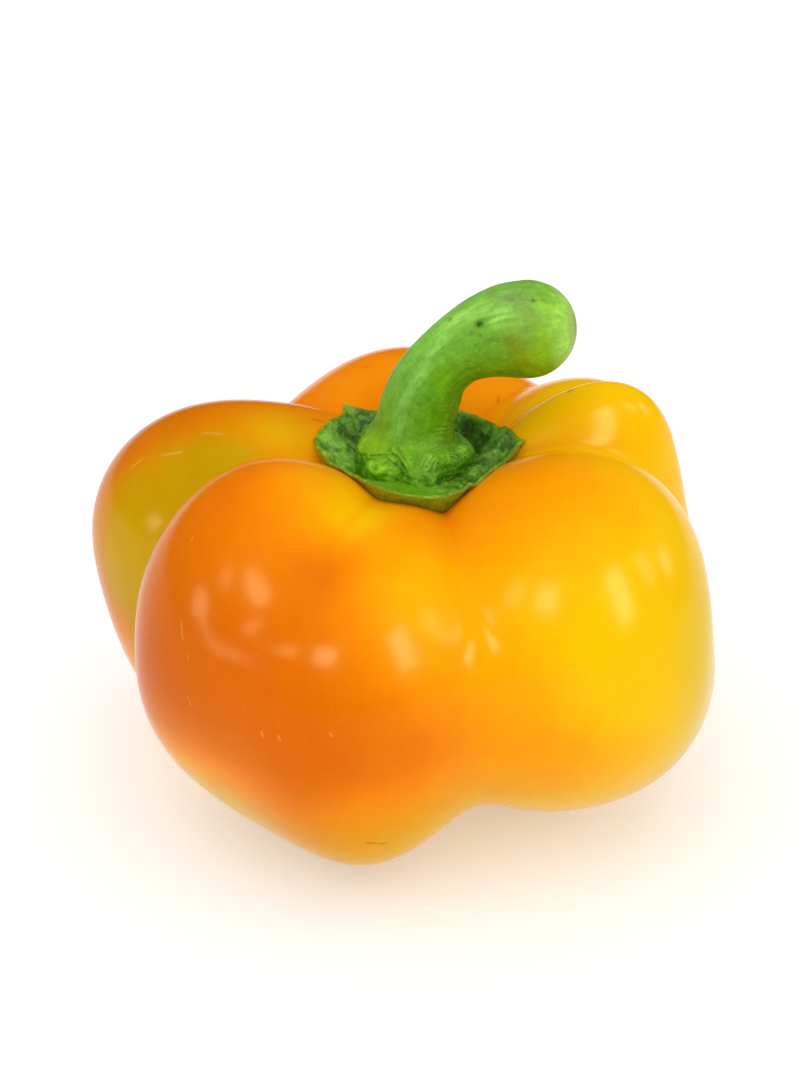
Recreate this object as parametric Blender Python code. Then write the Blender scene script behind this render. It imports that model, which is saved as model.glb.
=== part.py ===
"""Bell pepper, whole and uncut, resting on its feet.

Three pieces: the lobed fruit, the green calyx cup that sits in the hollow of
its shoulders, and the thick crooked stem. Metres, +Z up. The origin is the
middle of the underside of the whole object's box; the front lobe faces -Y and
the stem leans over towards +X.
"""
import bpy
import bmesh
from mathutils import Vector
from math import sin, cos, radians, degrees, pi, exp, log, sqrt, acos, atan2

MM = 0.001

# ---------------------------------------------------------------- fruit
# The wall is a soft union of egg-shaped lobes around a small core. Each lobe
# has a compass direction, how far its middle stands out from the stem axis,
# its middle's height, and its half sizes outward, sideways and upward. The
# lean tips the lobe's top outward. Millimetres and degrees.
LOBES = {
    #               dir    out   height  deep  wide  tall  lean
    "front_left":  (219.5, 24.5, 32.5,   24.0, 22.0, 31.5, 17.0),
    "front":       (251.5, 22.0, 31.0,   26.5, 21.5, 27.0,  5.5),
    "front_right": (325.5, 25.5, 33.5,   25.5, 25.0, 30.5, 18.0),
    "right_rib":   ( 15.0, 20.0, 33.5,   20.0,  9.5, 33.0, 19.0),
    "right_back":  ( 26.5, 21.5, 33.5,   23.0, 21.5, 29.0, 13.0),
    "back":        ( 87.0, 22.5, 30.5,   23.5, 31.0, 30.5, 11.0),
    "left_back":   (163.5, 25.5, 30.5,   28.5, 18.5, 30.0,  8.5),
    "core":        (  0.0,  0.0, 29.5,   18.0, 18.0, 23.5,  0.0),
}
HEART_HEIGHT = 33.0       # every lobe holds this point on the stem axis
CREASE_SOFT = 0.24        # how tightly lobes meet low down, 1/mm
CREASE_SHARP = 1.15       # and up by the stem hollow, where creases are sharp
FRONT_CREASES = 262.0     # the creases round this direction sharpen only
FRONT_CREASES_SPREAD = 34.0    # close to the hollow

# Broad swells (+) and dents (-) of the wall: direction, latitude seen from the
# heart of the fruit, spread in degrees, and height in millimetres.
SWELLS = {
    "stem_hollow":            (  0, 90, 20, -2.5),
    "front_left_low_waist":   (225, -35, 16, -1.0),
    "front_left_flank":       (200, -15, 15, 1.5),
    "front_left_brow":        (215, 25, 14, -1.5),
    "front_chin":             (250, -50, 14, 2.0),
    "front_low_ridge":        (262, -30, 10, 2.0),
    "front_ridge":            (240, 0, 16, 1.0),
    "front_notch":            (285, -45, 12, -1.0),
    "front_right_waist":      (310, -40, 16, -1.5),
    "front_right_cheek":      (300, 0, 16, 2.0),
    "front_right_brow":       (320, 25, 14, -1.0),
    "front_right_flank":      (335, -25, 12, 1.0),
    "right_groove":           (345, 5, 12, -3.5),
    "right_groove_top":       (355, 25, 12, -1.0),
    "right_groove_low":       (348, -8, 8, 1.0),
    "right_back_flank":       (5, -15, 12, 4.5),
    "right_back_crown":       (30, 35, 14, 2.5),
    "right_back_inner_slope": (12, 63, 12, -2.0),
    "back_right_shoulder":    (70, 25, 14, 0.5),
    "back_right_crown":       (75, 45, 12, -1.0),
    "back_right_gully":       (55, 60, 10, -4.5),
    "back_crown":             (95, 35, 14, 2.0),
    "back_left_saddle":       (130, 56, 9, 4.0),
    "back_inner_slope":       (98, 66, 12, -2.5),
    "left_back_crown":        (150, 20, 14, 2.5),
    "left_back_outer":        (183, 12, 10, 2.0),
    "left_back_seam":         (190, 0, 8, -2.0),
    "left_back_waist":        (175, -10, 12, -2.0),
    "right_foot":             (350, -62, 13, 1.0),
    "right_back_foot":        (20, -60, 13, -2.0),
    "front_right_foot":       (330, -62, 11, 3.5),
}
FRUIT_AROUND = 64
FRUIT_UP = 34
FEET_FLATTENED = 0.8      # the feet press this far flat on the table

# The stem axis stands here in the whole object's frame.
AXIS_X = 3.0
AXIS_Y = 0.6

# ---------------------------------------------------------------- calyx
CALYX_RADIUS = 14.8       # mean radius of the cup's rim
CALYX_FLOOR = 55.2        # top of its floor, under the stem
CALYX_FLOOR_RADIUS = 10.2
STEM_OFF_CENTRE = -1.3    # the stem's foot stands this far to the left in the cup
CALYX_RIM = 58.4          # height of the rim
CALYX_LIP = 0.6           # least wall height at the rim
CALYX_TEETH = {           # rim points: direction, how far out, width, up
    "right":      (2.0, 1.2, 7.0, 0.4),
    "back_left":  (134.0, 2.2, 6.0, 0.9),
    "back":       (92.0, -1.0, 26.0, 0.0),
    "left":       (176.0, 1.2, 12.0, 0.0),
    "front":      (278.0, 1.2, 16.0, -0.6),
    "front_right":(304.0, 0.8, 7.0, 0.2),
}
CALYX_AROUND = 60
FIT_GAP = 0.35            # clear gap between neighbouring pieces
CREASE_REACH = 0.7        # the cup bridges creases narrower than this

# ---------------------------------------------------------------- stem
# Middle line from the foot to the blunt tip: x, y, height and half thickness.
STEM_LINE = (
    (-1.3,  0.0, 55.6, 8.8),
    (-1.3,  0.0, 57.6, 9.0),
    (-1.1,  0.0, 59.8, 7.3),
    (-0.7,  0.0, 61.6, 6.1),
    (-0.2,  0.0, 64.2, 5.9),
    ( 1.0,  0.0, 67.8, 5.7),
    ( 2.6,  0.0, 70.8, 5.3),
    ( 5.4, -0.2, 73.8, 5.3),
    ( 8.9, -0.5, 76.0, 6.0),
    (12.7, -0.8, 77.4, 6.9),
    (16.0, -1.1, 77.9, 7.25),
)
STEM_TIP_LENGTH = 7.5     # the rounded end past the last point
STEM_TIP_RINGS = (15.0, 32.0, 48.0, 62.0, 74.0, 84.0)   # its rings, in degrees
STEM_AROUND = 20
STEM_STEPS = 24
STEM_KNUCKLES = 5         # knuckles round the foot, one to each lobe
STEM_KNUCKLE_HEIGHT = 0.5
STEM_FOOT_HEIGHT = 5.0


# ================================================================ geometry
def lobe_reach(direction, lobe):
    """Distance from the heart to an egg's skin along a unit direction."""
    compass, out, height, deep, wide, tall, lean = lobe
    a, t = radians(compass), radians(lean)
    outward = Vector((cos(a), sin(a), 0.0))
    sideways = Vector((-sin(a), cos(a), 0.0))
    up = Vector((0.0, 0.0, 1.0))
    axis_deep = outward * cos(t) - up * sin(t)
    axis_tall = up * cos(t) + outward * sin(t)
    centre = outward * out + up * (height - HEART_HEIGHT)
    scaled_o = Vector((-centre.dot(axis_deep) / deep,
                       -centre.dot(sideways) / wide,
                       -centre.dot(axis_tall) / tall))
    scaled_d = Vector((direction.dot(axis_deep) / deep,
                       direction.dot(sideways) / wide,
                       direction.dot(axis_tall) / tall))
    qa = scaled_d.dot(scaled_d)
    qb = scaled_d.dot(scaled_o)
    qc = scaled_o.dot(scaled_o) - 1.0
    return (-qb + sqrt(max(qb * qb - qa * qc, 1e-9))) / qa


def sphere_direction(compass, latitude):
    a, b = radians(compass), radians(latitude)
    return Vector((cos(b) * cos(a), cos(b) * sin(a), sin(b)))


SWELL_LIST = [(sphere_direction(c, l), radians(s), h)
              for c, l, s, h in SWELLS.values()]


def fruit_radius(direction):
    """Distance from the heart to the fruit's skin along a unit direction."""
    compass = degrees(atan2(direction.y, direction.x))
    front = exp(-0.5 * (angle_gap(compass, FRONT_CREASES)
                        / FRONT_CREASES_SPREAD) ** 2)
    blend = (direction.z + 0.05 - 0.40 * front) / (0.65 - 0.20 * front)
    blend = min(max(blend, 0.0), 1.0)
    k = CREASE_SOFT + (CREASE_SHARP - CREASE_SOFT) * blend
    reach = [lobe_reach(direction, lobe) for lobe in LOBES.values()]
    most = max(reach)
    r = most + log(sum(exp((x - most) * k) for x in reach)) / k
    for middle, spread, height in SWELL_LIST:
        angle = acos(min(max(direction.dot(middle), -1.0), 1.0))
        r += height * exp(-0.5 * (angle / spread) ** 2)
    return r


def fruit_height(x, y):
    """Height of the fruit's upper skin at x, y from the stem axis."""
    low, high = HEART_HEIGHT + 4.0, 95.0
    for _ in range(28):
        mid = 0.5 * (low + high)
        v = Vector((x, y, mid - HEART_HEIGHT))
        if v.length < fruit_radius(v.normalized()):
            low = mid
        else:
            high = mid
    return low


def place(x, y, z):
    """Millimetres about the stem axis to metres in the object's frame."""
    return Vector(((x + AXIS_X) * MM, (y + AXIS_Y) * MM,
                   (z - FEET_FLATTENED) * MM))


def smooth(t):
    t = min(max(t, 0.0), 1.0)
    return t * t * (3.0 - 2.0 * t)


def angle_gap(a, b):
    return (a - b + 180.0) % 360.0 - 180.0


def calyx_rim(compass):
    """Radius and height of the rim, with its small teeth."""
    radius = CALYX_RADIUS + 0.5 * cos(radians(5.0 * (compass - 60.0)))
    height = CALYX_RIM
    for where, out, width, up in CALYX_TEETH.values():
        w = exp(-0.5 * (angle_gap(compass, where) / width) ** 2)
        radius += out * w
        height += up * w
    return radius, height


# ================================================================ meshes
def material(name, colour, roughness, metallic=0.0):
    m = bpy.data.materials.new(name)
    m.use_nodes = True
    m.diffuse_color = (*colour, 1.0)
    b = m.node_tree.nodes["Principled BSDF"]
    b.inputs["Base Color"].default_value = (*colour, 1.0)
    b.inputs["Roughness"].default_value = roughness
    b.inputs["Metallic"].default_value = metallic
    return m


def add_object(name, bm, mat, parent):
    bmesh.ops.recalc_face_normals(bm, faces=bm.faces[:])
    mesh = bpy.data.meshes.new(name)
    bm.to_mesh(mesh)
    bm.free()
    mesh.materials.append(mat)
    mesh.shade_smooth()
    obj = bpy.data.objects.new(name, mesh)
    bpy.context.scene.collection.objects.link(obj)
    obj.parent = parent
    return obj


def skin_over_rings(rings, first, last):
    """A closed skin: a pole, rings of points, and a pole."""
    bm = bmesh.new()
    start = bm.verts.new(first)
    loops = [[bm.verts.new(p) for p in ring] for ring in rings]
    end = bm.verts.new(last)
    n = len(loops[0])
    for i in range(n):
        j = (i + 1) % n
        bm.faces.new((start, loops[0][j], loops[0][i]))
        for a, b in zip(loops, loops[1:]):
            bm.faces.new((a[i], a[j], b[j], b[i]))
        bm.faces.new((end, loops[-1][i], loops[-1][j]))
    return bm


def build_fruit(mat, parent):
    bm = bmesh.new()
    bmesh.ops.create_uvsphere(bm, u_segments=FRUIT_AROUND,
                              v_segments=FRUIT_UP, radius=1.0)
    for v in bm.verts:
        d = v.co.normalized()
        r = fruit_radius(d)
        p = place(d.x * r, d.y * r, d.z * r + HEART_HEIGHT)
        p.z = max(p.z, 0.0)
        v.co = p
    return add_object("fruit", bm, mat, parent)


def build_calyx(mat, parent):
    # Upper side: floor, then the inner slope up to the rim. Under side: the
    # outer wall back down, then the face that lies over the fruit.
    top_steps = (0.30, 0.62, 1.0)                 # shares of the floor radius
    slope_steps = (0.3, 0.6, 0.85, 1.0)           # shares from floor to rim
    under_steps = (0.93, 0.72, 0.48, 0.24)        # shares of the rim radius
    rings = []
    compass = [360.0 * i / CALYX_AROUND for i in range(CALYX_AROUND)]

    def lid(x, y):
        # highest skin close by, so the flat facets clear it in the creases
        spots = ((0, 0), (1, 0), (-1, 0), (0, 1), (0, -1))
        return max(fruit_height(x + CREASE_REACH * a, y + CREASE_REACH * b)
                   for a, b in spots) + FIT_GAP

    def ring(points):
        return [place(*p) for p in points]

    for s in top_steps:
        r = CALYX_FLOOR_RADIUS * s
        rings.append(ring([(r * cos(radians(c)) + STEM_OFF_CENTRE,
                            r * sin(radians(c)), CALYX_FLOOR)
                           for c in compass]))
    for s in slope_steps:
        pts = []
        for c in compass:
            rim_r, rim_z = calyx_rim(c)
            r = CALYX_FLOOR_RADIUS + (rim_r - CALYX_FLOOR_RADIUS) * s
            x = r * cos(radians(c)) + STEM_OFF_CENTRE * (1.0 - s)
            y = r * sin(radians(c))
            z = CALYX_FLOOR + (rim_z - CALYX_FLOOR) * smooth(s * 0.85) / smooth(0.85)
            z = max(z, lid(x, y) + CALYX_LIP)
            pts.append((x, y, z))
        rings.append(ring(pts))
    for s in under_steps:
        pts = []
        for c in compass:
            rim_r, _ = calyx_rim(c)
            r = rim_r * s
            x, y = r * cos(radians(c)), r * sin(radians(c))
            pts.append((x, y, lid(x, y)))
        rings.append(ring(pts))
    bm = skin_over_rings(rings, place(STEM_OFF_CENTRE, 0, CALYX_FLOOR),
                         place(0, 0, lid(0, 0)))
    return add_object("calyx", bm, mat, parent)


def line_point(t):
    """Catmull-Rom point (x, y, z, half thickness) on the stem's middle line."""
    pts = STEM_LINE
    n = len(pts) - 1
    s = min(max(t, 0.0), 1.0) * n
    i = min(int(s), n - 1)
    f = s - i
    p0, p1 = pts[max(i - 1, 0)], pts[i]
    p2, p3 = pts[i + 1], pts[min(i + 2, n)]
    out = []
    for a, b, c, d in zip(p0, p1, p2, p3):
        out.append(0.5 * (2 * b + (c - a) * f + (2 * a - 5 * b + 4 * c - d) * f * f
                          + (3 * b - a - 3 * c + d) * f ** 3))
    return out


def build_stem(mat, parent):
    rings = []
    n = STEM_STEPS

    def ring(centre, along, half, knuckle):
        side = Vector((0.0, 1.0, 0.0))
        across = side.cross(along).normalized()
        side = along.cross(across).normalized()
        pts = []
        for i in range(STEM_AROUND):
            a = 2.0 * pi * i / STEM_AROUND
            r = half + knuckle * STEM_KNUCKLE_HEIGHT * cos(STEM_KNUCKLES * a)
            p = centre + across * (r * cos(a)) + side * (r * sin(a))
            pts.append(place(*p))
        return pts

    for i in range(n + 1):
        t = i / n
        x, y, z, half = line_point(t)
        ahead, behind = line_point(t + 0.01), line_point(t - 0.01)
        along = (Vector(ahead[:3]) - Vector(behind[:3])).normalized()
        foot = smooth(1.0 - (z - STEM_LINE[0][2]) / STEM_FOOT_HEIGHT)
        if z < STEM_LINE[2][2]:
            along = Vector((0.0, 0.0, 1.0))
        rings.append(ring(Vector((x, y, z)), along, half, foot))
    x, y, z, half = line_point(1.0)
    behind = line_point(0.97)
    along = (Vector((x, y, z)) - Vector(behind[:3])).normalized()
    for a in STEM_TIP_RINGS:
        c = Vector((x, y, z)) + along * (STEM_TIP_LENGTH * sin(radians(a)))
        rings.append(ring(c, along, half * cos(radians(a)), 0.0))
    tip = Vector((x, y, z)) + along * STEM_TIP_LENGTH
    foot = Vector(STEM_LINE[0][:3])
    bm = skin_over_rings(rings, place(*foot), place(*tip))
    return add_object("stem", bm, mat, parent)


def main():
    for obj in list(bpy.data.objects):
        bpy.data.objects.remove(obj, do_unlink=True)
    skin = material("fruit_skin", (0.90, 0.30, 0.010), 0.22)
    cup = material("calyx_green", (0.07, 0.20, 0.025), 0.55)
    stalk = material("stem_green", (0.16, 0.38, 0.045), 0.42)
    root = bpy.data.objects.new("bell_pepper", None)
    bpy.context.scene.collection.objects.link(root)
    build_fruit(skin, root)
    build_calyx(cup, root)
    build_stem(stalk, root)


main()
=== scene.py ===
"""Looks of the bell pepper: skin, calyx cup and stem, on a plain pale floor.

Lengths inside the shape functions are millimetres about the stem axis, with
the heart of the fruit on it; to_row() turns them into metres in the row frame.
"""

from math import radians, sin, cos, pi

import bpy
import numpy as np
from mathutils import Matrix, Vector


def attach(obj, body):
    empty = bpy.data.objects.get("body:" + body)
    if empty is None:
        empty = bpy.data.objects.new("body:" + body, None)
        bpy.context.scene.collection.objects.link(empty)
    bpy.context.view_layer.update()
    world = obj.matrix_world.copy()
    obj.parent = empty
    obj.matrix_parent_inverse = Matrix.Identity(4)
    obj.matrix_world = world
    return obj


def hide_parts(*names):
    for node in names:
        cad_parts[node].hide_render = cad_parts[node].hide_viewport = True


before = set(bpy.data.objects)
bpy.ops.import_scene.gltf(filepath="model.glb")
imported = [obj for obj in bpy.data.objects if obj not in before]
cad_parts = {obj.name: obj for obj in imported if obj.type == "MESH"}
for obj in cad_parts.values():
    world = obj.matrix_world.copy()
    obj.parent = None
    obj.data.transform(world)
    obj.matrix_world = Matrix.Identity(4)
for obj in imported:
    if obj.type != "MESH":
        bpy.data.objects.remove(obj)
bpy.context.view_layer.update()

MM = 0.001
AXIS_X, AXIS_Y, FEET_FLATTENED = 3.0, 0.6, 0.8

# ------------------------------------------------------------------ fruit form
LOBES = {
    #               dir    out   height  deep  wide  tall  lean
    "front_left":  (219.5, 24.5, 32.5,   24.0, 22.0, 31.5, 17.0),
    "front":       (251.5, 22.0, 31.0,   26.5, 21.5, 27.0,  5.5),
    "front_right": (325.5, 25.5, 33.5,   25.5, 25.0, 30.5, 18.0),
    "right_rib":   ( 15.0, 20.0, 33.5,   20.0,  9.5, 33.0, 19.0),
    "right_back":  ( 26.5, 21.5, 33.5,   23.0, 21.5, 29.0, 13.0),
    "back":        ( 87.0, 22.5, 30.5,   23.5, 31.0, 30.5, 11.0),
    "left_back":   (163.5, 25.5, 30.5,   28.5, 18.5, 30.0,  8.5),
    "core":        (  0.0,  0.0, 29.5,   18.0, 18.0, 23.5,  0.0),
}
HEART = 33.0
CREASE_SOFT = 0.24
CREASE_SHARP = 1.15
FRONT_CREASES = 262.0
FRONT_CREASES_SPREAD = 34.0

# direction, latitude from the heart, spread in degrees, height in millimetres
SWELLS = {
    "stem_hollow":            (  0, 90, 20, -2.5),
    "front_left_low_waist":   (225, -35, 16, -1.0),
    "front_left_flank":       (200, -15, 15, 1.5),
    "front_left_brow":        (215, 25, 19, -1.2),
    "front_chin":             (250, -50, 14, 2.0),
    "front_low_ridge":        (262, -30, 10, 2.0),
    "front_ridge":            (240, 2, 20, 0.8),
    "front_left_valley_top":  (249, 55, 8, -1.5),
    "front_notch":            (285, -45, 12, -1.0),
    "front_right_waist":      (310, -40, 16, -1.5),
    "front_right_cheek":      (300, 2, 20, 1.6),
    "front_right_brow":       (320, 25, 14, -1.0),
    "front_right_flank":      (335, -25, 12, 1.0),
    "right_groove":           (345, 5, 12, -3.5),
    "right_groove_top":       (355, 25, 12, -1.0),
    "right_groove_low":       (348, -8, 8, 1.0),
    "right_back_flank":       (5, -15, 12, 4.5),
    "right_back_crown":       (30, 35, 14, 2.5),
    "right_back_inner_slope": (12, 63, 12, -2.0),
    "back_right_shoulder":    (70, 25, 14, 0.5),
    "back_right_crown":       (75, 45, 12, -1.0),
    "back_right_gully":       (55, 60, 10, -4.5),
    "back_crown":             (95, 35, 14, 2.0),
    "back_left_saddle":       (130, 56, 9, 4.0),
    "back_inner_slope":       (98, 66, 12, -2.5),
    "left_back_crown":        (150, 20, 14, 2.5),
    "left_back_outer":        (183, 12, 10, 2.0),
    "left_back_seam":         (190, 0, 8, -2.0),
    "left_back_waist":        (175, -10, 12, -2.0),
    "right_foot":             (350, -62, 13, 1.0),
    "right_back_foot":        (20, -60, 13, -2.0),
    "front_right_foot":       (330, -62, 11, 3.5),
}
FRUIT_AROUND = 400
FRUIT_UP = 232

# Where the skin is riper (+) or less so (-) than its usual orange, on a scale
# from deep orange to golden yellow: direction, latitude, spread, amount. A few
# entries are painted shade or painted floor reflection instead, marked below.
RIPENESS_AND_PAINTED_LIGHT = {
    "front_left_cheek":   (226, 6, 21, -0.44),
    "front_left_low":     (248, -6, 15, -0.26),
    "front_left_top":     (238, 50, 10, 0.48),
    "front_left_mid":     (236, 30, 10, 0.04),
    "front_left_gold":    (250, 44, 5, 0.30),
    # painted shade: deeper orange down the valley between the front-left and front lobes
    "front_left_valley_shade":    (248, 31, 5, -0.26),
    "front_middle":       (270, 29, 12, 0.36),
    "front_middle_top":   (262, 46, 6, -0.12),
    "front_low_middle":   (262, -2, 10, -0.16),
    "front_right_face":   (310, 10, 22, 0.46),
    "front_right_inner":  (298, 17, 8, 0.04),
    "front_right_top":    (300, 50, 12, -0.06),
    "front_right_low":    (298, -14, 14, -0.10),
    "right_side":         (342, 10, 24, 0.45),
    "right_back_top":     (10, 46, 15, 0.50),
    "right_back_side":    (22, 5, 28, 0.40),
    "right_back_inner":   (20, 34, 12, 0.35),
    "back_top":           (95, 45, 20, -0.02),
    "left_back_rim":      (160, 26, 16, -0.14),
    "left_back_inner":    (174, 51, 8, 0.48),
    "left_back_outer":    (188, 10, 10, 0.25),
    "front_left_brow":    (221, 41, 9, -0.18),
    # painted reflection: the next three lighten the underside of the front lobes, standing in for light
    # reflected up from the pale floor
    "front_left_under_floor_reflection":   (234, -10, 9, 0.26),
    "front_left_corner_floor_reflection":  (222, -17, 10, 0.30),
    "front_under_floor_reflection":        (260, -14, 8, 0.22),
}

# ------------------------------------------------------------------ calyx form
# Rim of the cup: direction, radius.
CALYX_RIM_RADIUS = (
    (0, 15.6), (2.5, 16.6), (5, 15.6), (9, 14.9), (15, 14.6), (35, 13.7), (65, 14.0), (92, 13.9),
    (118, 13.9), (126, 14.8), (130, 16.2), (132.5, 17.8), (136, 16.0), (157, 15.9),
    (173, 16.1), (185, 15.6), (197, 15.0), (217, 14.4), (232, 14.5),
    (251, 14.9), (265, 15.7), (275, 16.4), (291, 15.8), (304, 15.7),
    (320, 14.8), (339, 14.2), (350, 14.7),
)
CALYX_RIM_HEIGHT = 58.45
CALYX_RIM_RISES = (        # direction, width, rise
    (272, 26, -0.85), (132.5, 5, 0.8), (2.5, 4, 0.35), (195, 1.6, 0.55),
    (216, 1.2, 0.40), (299, 1.8, 0.60), (170, 14, 0.1),
)
CALYX_AROUND = 440
CALYX_LUMPS = (            # x, y, size, rise: blobs and pits inside the cup
    (-11.6, -2.2, 1.3, 1.3), (-13.4, 3.2, 1.2, 0.5), (-10.4, 6.4, 1.3, -0.8),
    (10.6, -0.2, 1.25, 1.7), (12.7, 3.6, 1.0, 0.8), (8.8, -3.6, 0.8, 0.9),
    (8.6, 5.6, 1.4, -0.7), (9.9, -5.4, 0.9, -0.5), (3.4, -11.2, 1.2, 0.35),
    (-9.0, -4.9, 0.9, -0.5), (7.5, 9.5, 1.3, -0.5), (12.2, -2.9, 0.9, -0.5),
)

# ------------------------------------------------------------------- stem form
STEM_LINE = (
    (-1.3,   0.0, 55.0, 8.7),
    (-1.3,   0.0, 57.5, 8.5),
    (-1.15,  0.0, 59.8, 7.0),
    (-0.7,   0.0, 61.7, 6.05),
    (-0.2,   0.0, 64.2, 5.9),
    ( 1.0,   0.0, 67.8, 5.7),
    ( 2.6,   0.0, 70.8, 5.25),
    ( 5.4,  -0.2, 73.8, 5.3),
    ( 8.9,  -0.5, 76.0, 6.0),
    (12.7,  -0.8, 77.4, 6.95),
    (16.0,  -1.1, 77.9, 7.25),
)
STEM_POINT = 1 / 11        # share of the stem from one point to the next
STEM_FOLDS = (             # creases over the foot: points as share, angle; depth
    (((0.120, 216), (0.160, 240), (0.118, 256), (0.078, 263)), 0.30),
    (((0.150, 222), (0.178, 246), (0.130, 261), (0.079, 267)), 0.34),
    (((0.186, 240), (0.170, 254), (0.120, 265), (0.080, 270)), 0.26),
    (((0.205, 252), (0.165, 263), (0.100, 273)), 0.18),
)
STEM_TIP_LENGTH = 7.4
STEM_AROUND = 230
STEM_ALONG = 230
STEM_TIP_RINGS = 44


# =================================================================== numerics
def hash01(ix, iy, iz, seed):
    n = (ix * 374761393 + iy * 668265263 + iz * 1440670441 + seed * 144269504) & 0x7FFFFFFF
    n = ((n ^ (n >> 13)) * 1274126177) & 0x7FFFFFFF
    n = ((n ^ (n >> 15)) * 362437) & 0x7FFFFFFF
    return (n >> 7 & 0xFFFF) / 65535.0


def noise(p, size, seed):
    """Smooth noise from -1 to 1 at points p, with cells of this size (a number
    or one for each axis)."""
    q = p / np.asarray(size, float)
    i = np.floor(q).astype(np.int64)
    f = q - i
    f = f * f * f * (f * (f * 6 - 15) + 10)
    total = 0.0
    for dx in (0, 1):
        wx = f[:, 0] if dx else 1 - f[:, 0]
        for dy in (0, 1):
            wy = f[:, 1] if dy else 1 - f[:, 1]
            for dz in (0, 1):
                wz = f[:, 2] if dz else 1 - f[:, 2]
                total = total + wx * wy * wz * hash01(
                    i[:, 0] + dx, i[:, 1] + dy, i[:, 2] + dz, seed)
    return total * 2 - 1


def layered(p, size, seed, layers=3, fall=0.5):
    total, weight, scale = 0.0, 1.0, 1.0
    norm = 0.0
    for k in range(layers):
        total = total + weight * noise(p * scale, size, seed + 31 * k)
        norm += weight
        weight *= fall
        scale *= 2.03
    return total / norm


def bell(x, width):
    return np.exp(-0.5 * (x / width) ** 2)


def step(x, low, high):
    t = np.clip((x - low) / (high - low), 0, 1)
    return t * t * (3 - 2 * t)


def gap_deg(a, b):
    return (a - b + 180.0) % 360.0 - 180.0


def sphere_direction(compass, latitude):
    a, b = radians(compass), radians(latitude)
    return np.array([cos(b) * cos(a), cos(b) * sin(a), sin(b)])


def to_row(p):
    """Millimetres about the stem axis to metres in the row frame."""
    return (p + np.array([AXIS_X, AXIS_Y, -FEET_FLATTENED])) * MM


# ================================================================ fruit shape
def lobe_reach(d, lobe):
    compass, out, height, deep, wide, tall, lean = lobe
    a, t = radians(compass), radians(lean)
    outward = np.array([cos(a), sin(a), 0.0])
    sideways = np.array([-sin(a), cos(a), 0.0])
    up = np.array([0.0, 0.0, 1.0])
    basis = np.stack([(outward * cos(t) - up * sin(t)) / deep,
                      sideways / wide,
                      (up * cos(t) + outward * sin(t)) / tall])
    o = -(basis @ (outward * out + up * (height - HEART)))
    s = d @ basis.T
    qa = (s * s).sum(1)
    qb = s @ o
    qc = o @ o - 1.0
    return (-qb + np.sqrt(np.maximum(qb * qb - qa * qc, 1e-9))) / qa


def fruit_radius(d):
    """Distance from the heart to the skin along each unit direction."""
    compass = np.degrees(np.arctan2(d[:, 1], d[:, 0]))
    front = bell(gap_deg(compass, FRONT_CREASES), FRONT_CREASES_SPREAD)
    blend = (d[:, 2] + 0.05 - 0.40 * front) / (0.65 - 0.20 * front)
    blend = 0.5 * (blend + np.sqrt(blend * blend + 0.012))      # eased, not cut, at 0
    blend = 1.0 - 0.5 * (1.0 - blend + np.sqrt((1.0 - blend) ** 2 + 0.004))   # and at 1
    k = CREASE_SOFT + (CREASE_SHARP - CREASE_SOFT) * blend
    reach = np.array([lobe_reach(d, lobe) for lobe in LOBES.values()])
    most = reach.max(0)
    r = most + np.log(np.exp((reach - most) * k).sum(0)) / k
    for compass, latitude, spread, height in SWELLS.values():
        angle = np.arccos(np.clip(d @ sphere_direction(compass, latitude), -1, 1))
        r = r + height * np.exp(-0.5 * (angle / radians(spread)) ** 2)
    return r


def fruit_height(x, y):
    """Height of the upper skin over points x, y."""
    low = np.full(x.shape, HEART + 4.0)
    high = np.full(x.shape, 95.0)
    for _ in range(26):
        mid = 0.5 * (low + high)
        v = np.stack([x, y, mid - HEART], 1)
        n = np.linalg.norm(v, axis=1)
        inside = n < fruit_radius(v / n[:, None])
        low = np.where(inside, mid, low)
        high = np.where(inside, high, mid)
    return low


# ==================================================================== meshing
def grid_mesh(name, rings, first=None, last=None):
    """A skin over rings of equally many points (rings: R x N x 3, metres)."""
    count, n = rings.shape[0], rings.shape[1]
    verts = rings.reshape(-1, 3)
    i = np.arange(count - 1)[:, None] * n
    j = np.arange(n)[None, :]
    k = (j + 1) % n
    quads = np.stack([i + j, i + k, i + n + k, i + n + j], -1).reshape(-1, 4)
    tris = []
    if first is not None:
        verts = np.vstack([verts, first[None]])
        p = len(verts) - 1
        tris.append(np.stack([np.full(n, p), k[0], j[0]], 1))
    if last is not None:
        verts = np.vstack([verts, last[None]])
        p = len(verts) - 1
        b = (count - 1) * n
        tris.append(np.stack([np.full(n, p), b + j[0], b + k[0]], 1))
    tris = np.vstack(tris) if tris else np.zeros((0, 3), int)
    mesh = bpy.data.meshes.new(name)
    mesh.vertices.add(len(verts))
    mesh.vertices.foreach_set("co", verts.astype(np.float32).ravel())
    loops = np.concatenate([quads.ravel(), tris.ravel()]).astype(np.int32)
    starts = np.concatenate([np.arange(len(quads)) * 4,
                             len(quads) * 4 + np.arange(len(tris)) * 3]).astype(np.int32)
    mesh.loops.add(len(loops))
    mesh.loops.foreach_set("vertex_index", loops)
    mesh.polygons.add(len(starts))
    mesh.polygons.foreach_set("loop_start", starts)
    mesh.update(calc_edges=True)
    mesh.validate()
    mesh.shade_smooth()
    obj = bpy.data.objects.new(name, mesh)
    bpy.context.scene.collection.objects.link(obj)
    return obj


def paint(obj, name, values):
    """A number for each vertex, or a colour if values has three columns."""
    if values.ndim == 1:
        a = obj.data.attributes.new(name, "FLOAT", "POINT")
        a.data.foreach_set("value", values.astype(np.float32))
    else:
        a = obj.data.color_attributes.new(name, "FLOAT_COLOR", "POINT")
        rgba = np.ones((len(values), 4), np.float32)
        rgba[:, :3] = values
        a.data.foreach_set("color", rgba.ravel())


def linear(r, g, b):
    """An 0-255 display colour as linear numbers."""
    c = np.array([r, g, b], float) / 255.0
    return np.where(c <= 0.04045, c / 12.92, ((c + 0.055) / 1.055) ** 2.4)


def mixed(base, colour, weight):
    return base + (np.asarray(colour) - base) * np.clip(weight, 0, 1)[:, None]


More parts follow.
